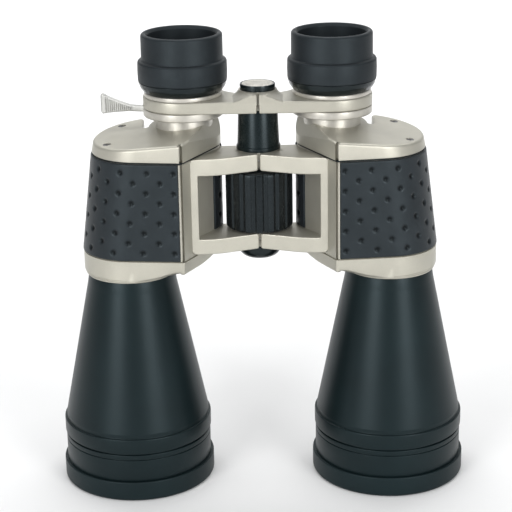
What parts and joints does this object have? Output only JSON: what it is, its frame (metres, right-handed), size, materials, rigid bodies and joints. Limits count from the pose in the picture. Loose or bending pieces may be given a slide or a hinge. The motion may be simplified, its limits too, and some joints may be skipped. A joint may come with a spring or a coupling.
{
  "type": "binoculars",
  "caption": "Porro-prism zoom binoculars with rubber-armoured silver body, centre focus wheel, folding hinge, zoom lever and large objectives.",
  "frame": {"origin": "on the floor under the middle of the bounding box, with the binoculars standing on their objectives", "axes": "+Z from the objectives to the eyepieces, -Y towards the side that is on top in use, -X towards the user's right half, which carries the zoom lever"},
  "size_m": [0.1928, 0.0722, 0.2123],
  "materials": {
    "satin_silver": "satin champagne silver paint over a die casting",
    "armour_rubber": "fine matte grain with small round dimples",
    "satin_black": "satin black paint",
    "hood_rubber": "smooth satin",
    "coated_glass": "anti-reflection coated",
    "prism_glass": "clear, ground at the ends",
    "spring_steel": "plain ground",
    "tube_metal": "dark anodised, turned",
    "inner_black": "black anodised",
    "gloss_black": "semi-gloss moulded",
    "eyecup_rubber": "matte soft rubber",
    "bright_ring": "bright satin, turned",
    "brass": "turned",
    "wheel_rubber": "fluted, matte"
  },
  "bodies": {
    "right_half": {"right_casting": "satin_silver", "right_rear_cover": "satin_silver", "right_cover_seal": "armour_rubber", "right_front_cover": "satin_silver", "right_armour": "armour_rubber", "right_objective_tube": "satin_black", "right_objective_band": "satin_black", "right_objective_hood": "hood_rubber", "right_objective_lens": "coated_glass", "right_rear_prism": "prism_glass", "right_front_prism": "prism_glass", "right_prism_clips": "spring_steel", "right_eyepiece_guide": "bright_ring", "right_cover_screws": "spring_steel", "hinge_shaft": "spring_steel", "tripod_bush": "brass", "hinge_washers": "spring_steel", "focus_sleeve": "satin_black"},
    "left_half": {"left_casting": "satin_silver", "left_rear_cover": "satin_silver", "left_cover_seal": "armour_rubber", "left_front_cover": "satin_silver", "left_armour": "armour_rubber", "left_objective_tube": "satin_black", "left_objective_band": "satin_black", "left_objective_hood": "hood_rubber", "left_objective_lens": "coated_glass", "left_rear_prism": "prism_glass", "left_front_prism": "prism_glass", "left_prism_clips": "spring_steel", "left_eyepiece_guide": "bright_ring", "left_cover_screws": "spring_steel"},
    "focus_wheel": {"focus_wheel": "inner_black", "focus_grip": "wheel_rubber"},
    "right_bridge": {"right_bridge_arm": "satin_silver", "focus_screw": "brass", "top_cap": "gloss_black", "emblem_disc": "bright_ring", "right_eyepiece_tube": "tube_metal", "right_collar_ring": "bright_ring", "right_ocular_cell": "inner_black", "right_eyecup_base": "gloss_black", "right_eyecup": "eyecup_rubber", "right_eye_lens": "coated_glass"},
    "left_bridge": {"left_bridge_arm": "satin_silver", "left_eyepiece_tube": "tube_metal"},
    "left_diopter": {"left_diopter_ring": "bright_ring"},
    "left_ocular": {"left_ocular_cell": "inner_black", "left_eyecup_base": "gloss_black", "left_eyecup": "eyecup_rubber", "left_eye_lens": "coated_glass"},
    "right_zoom": {"right_zoom_ring": "bright_ring", "zoom_lever": "bright_ring"},
    "left_zoom": {"left_zoom_ring": "bright_ring"},
    "right_zoom_cell": {"right_zoom_cell": "inner_black", "right_zoom_lens": "coated_glass"},
    "left_zoom_cell": {"left_zoom_cell": "inner_black", "left_zoom_lens": "coated_glass"},
    "front_cap": {"front_cap": "gloss_black"}
  },
  "joints": [
    {"name": "ipd_hinge", "type": "hinge", "parent": "right_half", "child": "left_half", "pos_m": [0, 0.008, 0.135], "axis": [0, 0, 1], "range_deg": [-2, 50]},
    {"name": "focus_turn", "type": "hinge", "parent": "right_half", "child": "focus_wheel", "pos_m": [0, 0.008, 0.135], "axis": [0, 0, 1], "range_deg": [0, 470]},
    {"name": "right_bridge_slide", "type": "slide", "parent": "right_half", "child": "right_bridge", "axis": [0, 0, 1], "range_m": [0, 0.0075]},
    {"name": "left_bridge_slide", "type": "slide", "parent": "left_half", "child": "left_bridge", "axis": [0, 0, 1], "range_m": [0, 0.0076]},
    {"name": "zoom_turn", "type": "hinge", "parent": "right_bridge", "child": "right_zoom", "pos_m": [-0.0343, 0.0128, 0.176], "axis": [0, 0, 1], "range_deg": [-25, 60]},
    {"name": "left_zoom_turn", "type": "hinge", "parent": "left_bridge", "child": "left_zoom", "pos_m": [0.0343, 0.0128, 0.176], "axis": [0, 0, 1], "range_deg": [-26, 61]},
    {"name": "right_cell_slide", "type": "slide", "parent": "right_bridge", "child": "right_zoom_cell", "axis": [0, 0, 1], "range_m": [-0.0025, 0.0058]},
    {"name": "left_cell_slide", "type": "slide", "parent": "left_bridge", "child": "left_zoom_cell", "axis": [0, 0, 1], "range_m": [-0.0025, 0.0058]},
    {"name": "diopter_turn", "type": "hinge", "parent": "left_bridge", "child": "left_diopter", "pos_m": [0.0343, 0.0128, 0.184], "axis": [0, 0, 1], "range_deg": [-1, 101]},
    {"name": "diopter_slide", "type": "slide", "parent": "left_bridge", "child": "left_ocular", "axis": [0, 0, 1], "range_m": [0, 0.002]},
    {"name": "front_cap_pull", "type": "slide", "parent": "right_half", "child": "front_cap", "axis": [0, 0, -1], "range_m": [0, 0.06]}
  ],
  "couplings": [
    {"joint": "focus_turn", "follows": "right_bridge_slide", "rad_per_m": 1047.2},
    {"joint": "left_bridge_slide", "follows": "right_bridge_slide", "ratio": 1},
    {"joint": "left_zoom_turn", "follows": "zoom_turn", "ratio": 1},
    {"joint": "right_cell_slide", "follows": "zoom_turn", "m_per_rad": 0.0053925},
    {"joint": "left_cell_slide", "follows": "zoom_turn", "m_per_rad": 0.0053925},
    {"joint": "diopter_turn", "follows": "diopter_slide", "rad_per_m": 872.66}
  ]
}
